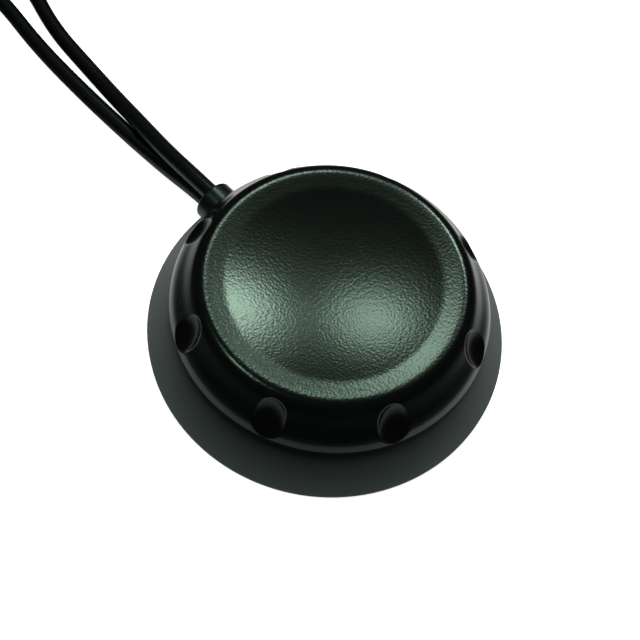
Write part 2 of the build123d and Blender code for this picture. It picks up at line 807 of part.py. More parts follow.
def make_plug_ring():
    """Split snap ring that keeps the nut on the body."""
    groove = groove_place()
    inner = plug_neck_radius - ring_groove_depth
    corners = [(groove + ring_side_gap, inner), (groove + ring_side_gap, ring_radius),
               (groove + ring_groove_width - ring_side_gap, ring_radius),
               (groove + ring_groove_width - ring_side_gap, inner)]
    slot = Pos(groove + ring_groove_width / 2, 0, ring_radius) * Box(ring_groove_width, ring_slot_width, ring_radius)
    return turned_on_x(corners) - slot


def make_plug_gasket():
    """Soft ring on the step in front of the neck."""
    start = plug_collar_length + plug_neck_length
    return turned_on_x([(start, plug_barrel_radius), (start, gasket_radius),
                        (start + gasket_thickness, gasket_radius), (start + gasket_thickness, plug_barrel_radius)])


def make_plug_insulator():
    """White insulator inside the contact barrel."""
    end = plug_collar_length + plug_neck_length + plug_barrel_length - insulator_recess
    return turned_on_x([(plug_collar_length, pin_radius), (plug_collar_length, plug_barrel_bore),
                        (end, plug_barrel_bore), (end, pin_radius)])


def make_plug_pin():
    """Centre pin with a pointed tip."""
    tip = plug_collar_length + plug_neck_length + plug_barrel_length + pin_proud
    return turned_on_x([(plug_collar_length, 0), (plug_collar_length, pin_radius),
                        (tip - pin_radius, pin_radius), (tip, pin_tip_radius), (tip, 0)])


def make_plug_ferrule():
    """Crimped sleeve over the stub and the cable, pressed to a hexagon."""
    sleeve = turned_on_x([(-ferrule_length, cable_radius), (-ferrule_length, ferrule_radius), (0, ferrule_radius),
                          (0, ferrule_radius - boot_wall), (-plug_stub_length, ferrule_radius - boot_wall),
                          (-plug_stub_length, cable_radius)])
    rear = Plane(origin=(-ferrule_length, 0, 0), x_dir=(0, 0, 1), z_dir=(1, 0, 0))
    pressed = extrude(rear * RegularPolygon(ferrule_flat / cos(radians(30)), 6), ferrule_length)
    round_end = turned_on_x([(-ferrule_round_end, 0), (-ferrule_round_end, ferrule_radius),
                             (0, ferrule_radius), (0, 0)])
    return sleeve & (pressed + round_end)


def make_plug_boot():
    """Heat-shrunk sleeve over the cable's end and the ferrule."""
    outer = ferrule_radius + boot_fit_gap + boot_wall
    inner = ferrule_radius + boot_fit_gap
    rear = -ferrule_length - boot_past_cable
    step = -ferrule_length - boot_fit_gap
    return turned_on_x([(rear, cable_radius), (rear, cable_radius + boot_wall),
                        (step - boot_taper, cable_radius + boot_wall), (step, outer), (-boot_setback, outer),
                        (-boot_setback, inner), (step, inner), (step, cable_radius)])


def plug_place(y):
    """Place of a plug's rear face, its axis along +X."""
    return Pos(plug_start_x + plug_stub_length, y, plug_axis_height)


def make_plug(prefix, y):
    """All pieces of one plug, named with its cable's prefix."""
    makers = {
        "boot": make_plug_boot, "ferrule": make_plug_ferrule, "body": make_plug_body, "nut": make_plug_nut,
        "snap_ring": make_plug_ring, "gasket": make_plug_gasket, "insulator": make_plug_insulator,
        "pin": make_plug_pin,
    }
    return {f"{prefix}_plug_{name}": plug_place(y) * make() for name, make in makers.items()}


def make_cable(prefix, lead, tail, coil_y):
    """Lead, coil, ties and tail of one cable."""
    return {
        f"{prefix}_cable_lead": cable_tube(f"{prefix} lead", lead),
        f"{prefix}_cable_coil": make_coil(coil_y),
        f"{prefix}_coil_ties": make_coil_ties(coil_y),
        f"{prefix}_cable_tail": cable_tube(f"{prefix} tail", tail),
    }


def make_inner_ends():
    """Stripped ends of both cables and their solder."""
    gps_shield, gps_dielectric, _ = stripped_end(lower_cable_height, lower_dielectric_length)
    gsm_shield, gsm_dielectric, _ = stripped_end(upper_cable_height, upper_dielectric_length)
    gps_core, gsm_core = bent_wire(lower_core_route()), bent_wire(upper_core_route())
    return {
        "gps_cable_shield": gps_shield, "gps_cable_dielectric": gps_dielectric, "gps_cable_core": gps_core,
        "gsm_cable_shield": gsm_shield, "gsm_cable_dielectric": gsm_dielectric, "gsm_cable_core": gsm_core,
        "solder_joints": make_solder_joints(gps_core, gsm_core),
    }


def all_pieces():
    """Every piece by its name."""
    return {
        "base_housing": make_base_housing(),
        "top_cover": make_top_cover(),
        "sealing_ring": make_sealing_ring(),
        "foot_pad": make_foot_pad(),
        "cover_screws": make_cover_screws(),
        "base_magnets": make_base_magnets(),
        "circuit_board": make_circuit_board(),
        "board_screws": make_board_screws(),
        "patch_adhesive": make_patch_adhesive(),
        "patch_ceramic": make_patch_ceramic(),
        "patch_electrode": make_patch_electrode(),
        "feed_pin": make_feed_pin(),
        "phone_strip": make_phone_strip(),
        "shield_can": make_shield_can(),
        "amplifier_chip": make_amplifier_chip(),
        "filter_chip": make_filter_chip(),
        "chip_capacitors": make_chip_capacitors(),
        "cable_grommet": make_cable_grommet(),
        **make_inner_ends(),
        **make_cable("gps", lower_lead_route, lower_tail_route, lower_coil_y),
        **make_cable("gsm", upper_lead_route, upper_tail_route, upper_coil_y),
        **make_plug("gps", lower_plug_y),
        **make_plug("gsm", upper_plug_y),
    }


os.makedirs("parts", exist_ok=True)
for node, piece in all_pieces().items():
    export_step(Compound(children=piece) if isinstance(piece, list) else piece, f"parts/{node}.step")
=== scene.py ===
"""Looks of a puck-shaped vehicle antenna and its two coaxial leads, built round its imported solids."""
import json
import logging
import math
from dataclasses import dataclass, field
from enum import Enum

import bmesh
import bpy
import numpy as np
from mathutils import Matrix, Vector


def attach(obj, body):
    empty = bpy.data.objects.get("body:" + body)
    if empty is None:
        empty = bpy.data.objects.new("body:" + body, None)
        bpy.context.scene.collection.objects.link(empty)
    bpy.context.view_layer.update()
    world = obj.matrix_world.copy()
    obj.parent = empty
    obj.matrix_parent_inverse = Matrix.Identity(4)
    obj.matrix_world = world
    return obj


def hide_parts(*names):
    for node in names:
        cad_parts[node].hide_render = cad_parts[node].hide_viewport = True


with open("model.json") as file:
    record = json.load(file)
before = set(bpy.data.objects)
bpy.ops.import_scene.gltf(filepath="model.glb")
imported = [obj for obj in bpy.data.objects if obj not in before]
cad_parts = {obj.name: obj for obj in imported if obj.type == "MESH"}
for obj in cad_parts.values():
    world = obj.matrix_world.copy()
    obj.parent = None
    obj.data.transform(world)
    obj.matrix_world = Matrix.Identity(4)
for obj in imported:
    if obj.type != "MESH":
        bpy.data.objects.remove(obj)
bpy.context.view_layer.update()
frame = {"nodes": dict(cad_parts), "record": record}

MM = 0.001
IMAGE_SIDE = 640
SCOOP_ATTRIBUTE = "scoop_share"
LOG = logging.getLogger("antenna")

# Blender's wave texture is about 0.314 units long at scale 1
WAVE_LENGTH = 0.314

# Places that several pieces of the leads share, in millimetres
CABLE_RADIUS = 1.4
COIL_X = -105.0
COIL_Y = {"gps": -22.5, "gsm": 29.2}
OUTER_TURN = 22.0
TURN_HEIGHT = 2.25
PLUG_START_X = -72.5
PLUG_REAR_X = PLUG_START_X + 3.0
PLUG_INSET = 2.2
PLUG_HEIGHT = 4.6488

Shader = bpy.types.ShaderNodeTree
Socket = bpy.types.NodeSocket
Node = bpy.types.Node
Material = bpy.types.Material
Piece = bpy.types.Object
Point = tuple[float, float, float]
Spot = tuple[float, float]


def linear(colour: str) -> tuple[float, float, float, float]:
    """Turn an sRGB hex colour into linear red, green, blue and alpha.

    Args:
        colour: Six hex digits.

    Returns:
        The four linear values.
    """
    parts = [int(colour[i:i + 2], 16) / 255 for i in (0, 2, 4)]
    red, green, blue = (p / 12.92 if p <= 0.04045 else ((p + 0.055) / 1.055) ** 2.4 for p in parts)
    return red, green, blue, 1.0


def ease(share: float) -> float:
    """Return a share held between 0 and 1 and eased at both ends."""
    held = min(max(share, 0.0), 1.0)
    return held * held * (3 - 2 * held)


def add_node(tree: Shader, kind: str, inputs: dict | None = None, **settings: object) -> Node:
    """Add a node, set its properties and feed its inputs.

    Args:
        tree: Node tree that takes the node.
        kind: Name of the node's class, without the leading ShaderNode.
        inputs: Values or output sockets by the input's name or number.
        **settings: Properties of the node.

    Returns:
        The new node.
    """
    node = tree.nodes.new("ShaderNode" + kind)
    for name, value in settings.items():
        setattr(node, name, value)
    for name, value in (inputs or {}).items():
        if isinstance(value, Socket):
            tree.links.new(value, node.inputs[name])
        else:
            node.inputs[name].default_value = value
    return node


def new_material(name: str) -> tuple[Material, Shader, Node]:
    """Make a node material with its shader and output joined.

    Args:
        name: Name of the material.

    Returns:
        The material, its node tree and its Principled shader.
    """
    material = bpy.data.materials.new(name)
    material.use_nodes = True
    tree = material.node_tree
    return material, tree, tree.nodes["Principled BSDF"]


class GrainPlace(Enum):
    """Where a moulded surface carries its spark-eroded grain."""

    DISH_AND_RING = "dish and ring"
    EVERYWHERE = "everywhere"
    NOWHERE = "nowhere"


@dataclass(frozen=True)
class Finish:
    """What each finish has: a name and two tones, as sRGB hex."""

    name: str
    deep: str
    pale: str

    def build(self) -> Material:
        """Make the material, each kind of finish in its own way."""
        raise NotImplementedError

    def mottle(self, tree: Shader, shader: Node, pattern: Socket, rough: Spot) -> Socket:
        """Vary the tone and the roughness of a surface by one soft pattern.

        Args:
            tree: Node tree.
            shader: Principled shader.
            pattern: Pattern's socket, from 0 to 1.
            rough: Roughness where the tone is deep and where it is pale.

        Returns:
            The tone's socket.
        """
        tone = add_node(tree, "Mix", {"Factor": pattern, 6: linear(self.deep), 7: linear(self.pale)},
                        data_type="RGBA")
        gloss = add_node(tree, "MapRange", {"Value": pattern, "To Min": rough[0], "To Max": rough[1]})
        tree.links.new(tone.outputs[2], shader.inputs["Base Color"])
        tree.links.new(gloss.outputs["Result"], shader.inputs["Roughness"])
        return tone.outputs[2]


@dataclass(frozen=True)
class MouldedPlastic(Finish):
    """Black ABS or PVC as it comes from the mould.

    A spark-eroded mould leaves fine, rounded pebbles that break a highlight into short sparks,
    while polished parts of the mould give a smoother semi-gloss. The pebbles are drawn a little
    coarser than real ones, so that they show in the render.
    """

    rough: Spot
    specular: float
    tint: str
    place: GrainPlace
    blotch_mm: float = 9.0
    grain_mm: float = 0.36
    grain_depth_mm: float = 0.013
    silk_mm: float = 0.13
    silk_depth_mm: float = 0.002
    smooth_from_mm: float = 19.2
    smooth_to_mm: float = 21.0
    smooth_share: float = 0.1
    # Painted shade under the rim and painted reflected light at the foot: above this height the piece keeps
    # its own tone and only a share of its shine, and towards the floor it turns to the pale foot colour
    painted_shade_above_mm: float = 0.0
    painted_shade_shine_share: float = 0.05
    foot: str = ""
    matt_scoops: float = 0.0

    def build(self) -> Material:
        """Make the material.

        Returns:
            The finished material.
        """
        material, tree, shader = new_material(self.name)
        place = add_node(tree, "TexCoord").outputs["Object"]
        blotches = add_node(tree, "TexNoise", {"Vector": place, "Scale": 1 / (self.blotch_mm * MM),
                                               "Detail": 3.0, "Distortion": 0.4})
        tone = self.mottle(tree, shader, blotches.outputs["Fac"], self.rough)
        shader.inputs["Specular IOR Level"].default_value = self.specular
        shader.inputs["Specular Tint"].default_value = linear(self.tint)
        # Painted shade under the rim and painted reflected light at the foot, by height
        if self.painted_shade_above_mm > 0:
            self.paint_skirt_light_and_shade(tree, shader, place, tone)
        if self.matt_scoops > 0:
            self.dull_scoops(tree, shader)
        silk = add_node(tree, "TexNoise", {"Vector": place, "Scale": 1 / (self.silk_mm * MM), "Detail": 1.0})
        relief = add_node(tree, "Bump", {"Height": silk.outputs["Fac"], "Distance": self.silk_depth_mm * MM})
        if self.place is not GrainPlace.NOWHERE:
            pebbles = add_node(tree, "TexNoise", {"Vector": place, "Scale": 1 / (self.grain_mm * MM),
                                                  "Detail": 0.0})
            relief = add_node(tree, "Bump", {"Height": pebbles.outputs["Fac"],
                                             "Distance": self.grain_depth_mm * MM,
                                             "Strength": self.mask(tree, place),
                                             "Normal": relief.outputs["Normal"]})
        tree.links.new(relief.outputs["Normal"], shader.inputs["Normal"])
        return material

    def paint_skirt_light_and_shade(self, tree: Shader, shader: Node, place: Socket, tone: Socket) -> None:
        """Paint shade towards the piece's neck, as less shine, and reflected light towards its foot, as a
        paler colour, by height.

        Args:
            tree: Node tree.
            shader: Principled shader.
            place: Coordinates' socket.
            tone: Tone's socket.
        """
        height = add_node(tree, "SeparateXYZ", {"Vector": place}).outputs["Z"]
        neck = add_node(tree, "MapRange", {"Value": height, "From Max": self.painted_shade_above_mm * MM})
        # Painted shade: the shine falls to a small share up towards the neck
        shaded_shine = add_node(tree, "MapRange", {"Value": neck.outputs["Result"], "To Min": self.specular,
                                             "To Max": self.specular * self.painted_shade_shine_share})
        # Painted reflected light: the pale foot colour fades into the own tone up towards the neck
        painted_tone = add_node(tree, "Mix", {"Factor": neck.outputs["Result"], 6: linear(self.foot), 7: tone},
                        data_type="RGBA")
        tree.links.new(shaded_shine.outputs["Result"], shader.inputs["Specular IOR Level"])
        tree.links.new(painted_tone.outputs[2], shader.inputs["Base Color"])

    def dull_scoops(self, tree: Shader, shader: Node) -> None:
        """Take shine from the thumb scoops, which the mesh marks by an attribute.

        Args:
            tree: Node tree.
            shader: Principled shader.
        """
        pressed = add_node(tree, "Attribute", attribute_name=SCOOP_ATTRIBUTE).outputs["Fac"]
        matt = add_node(tree, "MapRange", {"Value": pressed, "To Min": self.specular,
                                           "To Max": self.specular * (1 - self.matt_scoops)})
        tree.links.new(matt.outputs["Result"], shader.inputs["Specular IOR Level"])

    def mask(self, tree: Shader, place: Socket) -> Socket | float:
        """Return the share of the grain at each point.

        Args:
            tree: Node tree.
            place: Coordinates' socket.

        Returns:
            A socket that fades from the dish to the rim, or 1.
        """
        if self.place is GrainPlace.EVERYWHERE:
            return 1.0
        flat = add_node(tree, "VectorMath", {0: place, 1: (1.0, 1.0, 0.0)}, operation="MULTIPLY")
        reach = add_node(tree, "VectorMath", {0: flat.outputs["Vector"]}, operation="LENGTH")
        fade = add_node(tree, "MapRange", {"Value": reach.outputs["Value"],
                                           "From Min": self.smooth_from_mm * MM,
                                           "From Max": self.smooth_to_mm * MM,
                                           "To Min": 1.0, "To Max": self.smooth_share},
                        interpolation_type="SMOOTHSTEP")
        return fade.outputs["Result"]


@dataclass(frozen=True)
class SoftPolymer(Finish):
    """PVC, silicone or foam: an even colour with a slightly uneven, satin to matt surface."""

    rough: Spot
    specular: float = 0.5
    pores_mm: float = 0.35
    pores_depth_mm: float = 0.006
    blotch_mm: float = 6.0
    tint: str = "ffffff"

    def build(self) -> Material:
        """Make the material.

        Returns:
            The finished material.
        """
        material, tree, shader = new_material(self.name)
        place = add_node(tree, "TexCoord").outputs["Object"]
        blotches = add_node(tree, "TexNoise", {"Vector": place, "Scale": 1 / (self.blotch_mm * MM),
                                               "Detail": 3.0})
        self.mottle(tree, shader, blotches.outputs["Fac"], self.rough)
        pores = add_node(tree, "TexNoise", {"Vector": place, "Scale": 1 / (self.pores_mm * MM)})
        relief = add_node(tree, "Bump", {"Height": pores.outputs["Fac"],
                                         "Distance": self.pores_depth_mm * MM})
        tree.links.new(relief.outputs["Normal"], shader.inputs["Normal"])
        shader.inputs["Specular IOR Level"].default_value = self.specular
        shader.inputs["Specular Tint"].default_value = linear(self.tint)
        return material


@dataclass(frozen=True)
class PlatedMetal(Finish):
    """Plated, fired or rolled metal: clouded tone and the fine marks that its making leaves."""

    rough: Spot
    marks_mm: Point = (0.5, 0.06, 0.06)
    marks_depth_mm: float = 0.0015
    cloud_mm: float = 2.5

    def build(self) -> Material:
        """Make the material.

        Returns:
            The finished material.
        """
        material, tree, shader = new_material(self.name)
        place = add_node(tree, "TexCoord").outputs["Object"]
        cloud = add_node(tree, "TexNoise", {"Vector": place, "Scale": 1 / (self.cloud_mm * MM),
                                            "Detail": 3.0})
        self.mottle(tree, shader, cloud.outputs["Fac"], self.rough)
        finer = tuple(1 / (size * MM) for size in self.marks_mm)
        stretched = add_node(tree, "VectorMath", {0: place, 1: finer}, operation="MULTIPLY")
        marks = add_node(tree, "TexNoise", {"Vector": stretched.outputs["Vector"], "Scale": 1.0})
        relief = add_node(tree, "Bump", {"Height": marks.outputs["Fac"],
                                         "Distance": self.marks_depth_mm * MM})
        tree.links.new(relief.outputs["Normal"], shader.inputs["Normal"])
        shader.inputs["Metallic"].default_value = 1.0
        return material


@dataclass(frozen=True)
class WovenStrap(Finish):
    """Woven nylon tape: warp ribs along it and finer weft across, with a soft dry bloom."""

    rib_mm: float = 0.6
    weft_mm: float = 0.4
    relief_mm: float = 0.12
    rough: float = 0.75
    sheen: float = 0.3

    def build(self) -> Material:
        """Make the material on the strap's own UV map, in millimetres.

        Returns:
            The finished material.
        """
        material, tree, shader = new_material(self.name)
        place = add_node(tree, "TexCoord").outputs["UV"]
        waves = [add_node(tree, "TexWave", {"Vector": place, "Scale": WAVE_LENGTH / size},
                          bands_direction=axis)
                 for axis, size in (("X", self.weft_mm), ("Y", self.rib_mm))]
        weave = add_node(tree, "Math", {0: waves[0].outputs["Fac"], 1: waves[1].outputs["Fac"]},
                         operation="MULTIPLY").outputs["Value"]
        tone = add_node(tree, "Mix", {"Factor": weave, 6: linear(self.deep), 7: linear(self.pale)},
                        data_type="RGBA")
        relief = add_node(tree, "Bump", {"Height": weave, "Distance": self.relief_mm * MM})
        tree.links.new(tone.outputs[2], shader.inputs["Base Color"])
        tree.links.new(relief.outputs["Normal"], shader.inputs["Normal"])
        shader.inputs["Roughness"].default_value = self.rough
        shader.inputs["Sheen Weight"].default_value = self.sheen
        return material


@dataclass(frozen=True)
class Speckled(Finish):
    """Fired ceramic, laminate or moulded resin: fine specks over a slightly mottled body."""

    rough: float
    speck_mm: float = 0.2
    relief_mm: float = 0.004

    def build(self) -> Material:
        """Make the material.

        Returns:
            The finished material.
        """
        material, tree, shader = new_material(self.name)
        place = add_node(tree, "TexCoord").outputs["Object"]
        specks = add_node(tree, "TexVoronoi", {"Vector": place, "Scale": 1 / (self.speck_mm * MM)})
        depth = specks.outputs["Distance"]
        tone = add_node(tree, "Mix", {"Factor": depth, 6: linear(self.deep), 7: linear(self.pale)},
                        data_type="RGBA")
        relief = add_node(tree, "Bump", {"Height": depth, "Distance": self.relief_mm * MM})
        tree.links.new(tone.outputs[2], shader.inputs["Base Color"])
        tree.links.new(relief.outputs["Normal"], shader.inputs["Normal"])
        shader.inputs["Roughness"].default_value = self.rough
        return material


FINISHES: dict[str, Finish] = {
    # Grained ABS: highlights break into sparks on dish and ring, and the scoops stay dark
    "cover_plastic": MouldedPlastic("grained_black_abs", "060807", "0a0c0b", (0.19, 0.22), 0.3, "d3ffe2",
                                    GrainPlace.DISH_AND_RING, matt_scoops=0.55),
    # Smooth satin ABS, with painted reflected light that greys it towards its foot and painted shade that
    # takes its shine under the rim
    "skirt_plastic": MouldedPlastic("satin_black_abs", "070908", "0b0d0c", (0.4, 0.46), 0.6, "d3ffe2",
                                    GrainPlace.NOWHERE, painted_shade_above_mm=6.4, foot="4e5753"),
    # Fine-grained PVC: one soft, broad highlight
    "boss_plastic": MouldedPlastic("fine_grain_black_pvc", "0a0c0b", "0f1110", (0.26, 0.32), 0.35, "d3ffe2",
                                   GrainPlace.EVERYWHERE, grain_mm=0.3, grain_depth_mm=0.004),
    # Extruded PVC: long, even satin highlights
    "cable_jacket": SoftPolymer("extruded_black_pvc", "070808", "0a0c0b", (0.26, 0.32), 0.25, 0.5, 0.002,
                                tint="d3ffe2"),
    # Nylon tape: dark and dry, with a weave
    "tie_strap": WovenStrap("woven_black_nylon", "060606", "1c1d1e"),
    # Rubbers and foams: matt, with open pores
    "pad_rubber": SoftPolymer("black_foam_rubber", "141414", "1d1d1d", (0.85, 0.95), 0.3, 0.5, 0.05),
    "seal_rubber": SoftPolymer("red_silicone", "7a3527", "8c4232", (0.5, 0.6), 0.4),
    "adhesive_pad": SoftPolymer("acrylic_foam_tape", "bdb8a8", "cbc6b7", (0.8, 0.9)),
    # Plated steels: cool grey zinc, warm bright nickel, grey tin
    "screw_steel": PlatedMetal("zinc_plated_steel", "a9adb0", "c6c9c8", (0.28, 0.4)),
    "magnet_nickel": PlatedMetal("nickel_plate", "bdb8ae", "cfcbc2", (0.14, 0.22)),
    "can_tin": PlatedMetal("tinned_steel_sheet", "b4b6b8", "caccce", (0.25, 0.36)),
    # Board, ceramics and chips: opaque, with fine specks
    "board_laminate": Speckled("green_solder_mask", "0e4a26", "17613a", 0.35, 0.5),
    "patch_ceramic": Speckled("fired_buff_ceramic", "b9a888", "cdbf9f", 0.7, 0.15),
    "chip_resin": Speckled("moulded_epoxy", "0f0f10", "1b1b1c", 0.6, 0.08),
    "capacitor_ceramic": Speckled("tan_ceramic", "8a6a45", "a07e56", 0.5, 0.1),
    # Fired silver is matt and pale, rolled brass is satin, solder is bright
    "silver_layer": PlatedMetal("fired_silver", "c9c5bb", "dedad0", (0.35, 0.5)),
    "strip_brass": PlatedMetal("rolled_brass", "b8933f", "d0ab58", (0.25, 0.35)),
    "solder": PlatedMetal("bright_solder", "b3b5b8", "cdcfd2", (0.2, 0.32)),
    # Inside of the cable: rough tinned braid, milky insulation, red drawn copper
    "braid_copper": PlatedMetal("tinned_copper_braid", "a8a097", "c9c2ba", (0.3, 0.45),
                                (0.15, 0.15, 0.15), 0.03),
    "white_insulation": SoftPolymer("white_fluoropolymer", "e4e2dc", "f0eeea", (0.4, 0.5)),
    "core_copper": PlatedMetal("drawn_copper", "b8683a", "d0804f", (0.2, 0.3)),
    # Plugs: bright gold, browner spring bronze, and a sleeve with faint ripples
    "plug_gold": PlatedMetal("gold_plated_brass", "c79a45", "e0b864", (0.18, 0.28)),
    "ring_bronze": PlatedMetal("spring_bronze", "8f6a3c", "a87f4b", (0.25, 0.35)),
    "shrink_sleeve": SoftPolymer("polyolefin_sleeve", "101112", "161718", (0.4, 0.5), 0.4, 0.9, 0.03),
}


@dataclass
class Workshop:
    """Builds each finish once and turns meshes into placed, dressed pieces."""

    made: dict[str, Material] = field(default_factory=dict)

    def material(self, slot: str) -> Material:
        """Return the material of a slot, built at its first use.

        Args:
            slot: Name of the record's material slot.

        Returns:
            The material.
        """
        if slot not in self.made:
            self.made[slot] = FINISHES[slot].build()
        return self.made[slot]

    def dress(self, node: str, slot: str) -> None:
        """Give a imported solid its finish.

        Args:
            node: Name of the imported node.
            slot: Name of the material slot.
        """
        solid = frame["nodes"][node]
        for place in solid.material_slots:
            place.material = self.material(slot)
        LOG.info("dressed %s in %s", node, self.made[slot].name)

    def place(self, piece: Piece, slot: str, body: str = "root", stands_for: tuple[str, ...] = ()) -> Piece:
        """Give a new piece its finish, its body and the nodes that it stands for.

        Args:
            piece: The piece.
            slot: Name of the material slot.
            body: Body that it rides on.
            stands_for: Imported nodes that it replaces.

        Returns:
            The same piece.
        """
        piece.data.materials.clear()
        piece.data.materials.append(self.material(slot))
        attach(piece, body)
        if stands_for:
            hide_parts(*stands_for)
        LOG.info("placed %s on %s", piece.name, body)
        return piece


def mesh_piece(name: str, shape: bmesh.types.BMesh, sharp_degrees: float = 40.0) -> Piece:
    """Turn a bmesh into an object at the origin.

    Args:
        name: Name of the piece.
        shape: The finished bmesh, which is freed.
        sharp_degrees: Edges that turn by more than this stay sharp.

    Returns:
        The new object.
    """
    mesh = bpy.data.meshes.new(name)
    shape.to_mesh(mesh)
    shape.free()
    mesh.shade_smooth()
    mesh.set_sharp_from_angle(angle=math.radians(sharp_degrees))
    piece = bpy.data.objects.new(name, mesh)
    bpy.context.scene.collection.objects.link(piece)
    return piece


def spin_outline(outline: list[Spot], steps: int) -> bmesh.types.BMesh:
    """Spin a closed outline of (radius, height) in millimetres about the Z axis.

    Args:
        outline: Corners in order.
        steps: Steps round the full turn.

    Returns:
        The closed mesh, in metres.
    """
    shape = bmesh.new()
    corners = [shape.verts.new((radius * MM, 0, height * MM)) for radius, height in outline]
    for i in range(len(corners)):
        if outline[i][0] > 0 or outline[(i + 1) % len(corners)][0] > 0:
            shape.edges.new((corners[i], corners[(i + 1) % len(corners)]))
    bmesh.ops.spin(shape, geom=shape.verts[:] + shape.edges[:], axis=(0, 0, 1), cent=(0, 0, 0), steps=steps,
                   angle=2 * math.pi, use_merge=True)
    bmesh.ops.remove_doubles(shape, verts=shape.verts[:], dist=1e-7)
    bmesh.ops.recalc_face_normals(shape, faces=shape.faces[:])
    return shape


def arc_points(start: Spot, end: Spot, steps: int) -> list[Spot]:
    """Return points along an arc that is level where it meets the axis.

    Args:
        start: Point on the axis, as (radius, height).
        end: The arc's other end.
        steps: Number of steps.

    Returns:
        The points, both ends among them.
    """
    radius = (end[0] ** 2 + (end[1] - start[1]) ** 2) / (2 * (end[1] - start[1]))
    turn = math.asin(end[0] / radius)
    return [(radius * math.sin(turn * i / steps), start[1] + radius * (1 - math.cos(turn * i / steps)))
            for i in range(steps + 1)]


def smooth_line(knots: list[Spot], first: Spot, last: Spot, spacing: float) -> list[Spot]:
    """Return points along a smooth curve through knots, with a set direction at each end.

    Args:
        knots: Points on the curve.
        first: Direction at the first knot.
        last: Direction at the last knot.
        spacing: Distance between the points.

    Returns:
        The points, both ends among them.
    """
    spots = np.array(knots)
    gaps = np.linalg.norm(np.diff(spots, axis=0), axis=1)
    count = len(spots)
    system, sides = np.eye(count), np.zeros((count, 2))
    sides[0], sides[-1] = (np.array(way) / np.linalg.norm(way) for way in (first, last))
    for i in range(1, count - 1):
        system[i, i - 1:i + 2] = gaps[i], 2 * (gaps[i - 1] + gaps[i]), gaps[i - 1]
        before, after = spots[i] - spots[i - 1], spots[i + 1] - spots[i]
        sides[i] = 3 * (gaps[i] / gaps[i - 1] * before + gaps[i - 1] / gaps[i] * after)
    slopes = np.linalg.solve(system, sides)
    points = [knots[0]]
    for i, gap in enumerate(gaps):
        steps = math.ceil(gap / spacing)
        for t in np.linspace(0, 1, steps + 1)[1:]:
            blend = (2 * t ** 3 - 3 * t ** 2 + 1, t ** 3 - 2 * t ** 2 + t,
                     3 * t ** 2 - 2 * t ** 3, t ** 3 - t ** 2)
            spot = blend[0] * spots[i] + blend[1] * gap * slopes[i]
            spot += blend[2] * spots[i + 1] + blend[3] * gap * slopes[i + 1]
            points.append((float(spot[0]), float(spot[1])))
    return points


